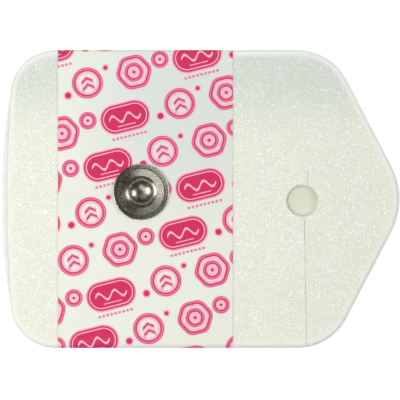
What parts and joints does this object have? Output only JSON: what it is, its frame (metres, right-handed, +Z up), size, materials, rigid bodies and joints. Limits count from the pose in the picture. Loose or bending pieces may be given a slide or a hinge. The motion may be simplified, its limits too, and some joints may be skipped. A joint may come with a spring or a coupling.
{
  "type": "ecg electrode",
  "caption": "Disposable foam monitoring electrode: nosed foam backing on clear release film, printed label strip, metal snap stud, and a slit hole that holds the lead wire.",
  "frame": {"origin": "middle of the underside of the release liner, under the centre of the overall box", "axes": "+X along the electrode to its nose with the lead hole, +Y across it, +Z up out of the snap stud"},
  "size_m": [0.0644, 0.0482, 0.0042],
  "materials": {
    "clear_film": "clear, glossy film",
    "white_foam": "fine closed-cell foam with a glittering skin",
    "printed_film": "semi-gloss white film with magenta print",
    "nickel": "satin nickel plating on brass sheet",
    "coated_plastic": "matte silver chloride coating",
    "gel_sponge": "wet sponge"
  },
  "bodies": {
    "root": {"release_liner": "clear_film", "foam_backing": "white_foam", "label_strip": "printed_film", "snap_stud": "nickel", "sensor_eyelet": "coated_plastic", "gel_pad": "gel_sponge"}
  },
  "joints": []
}
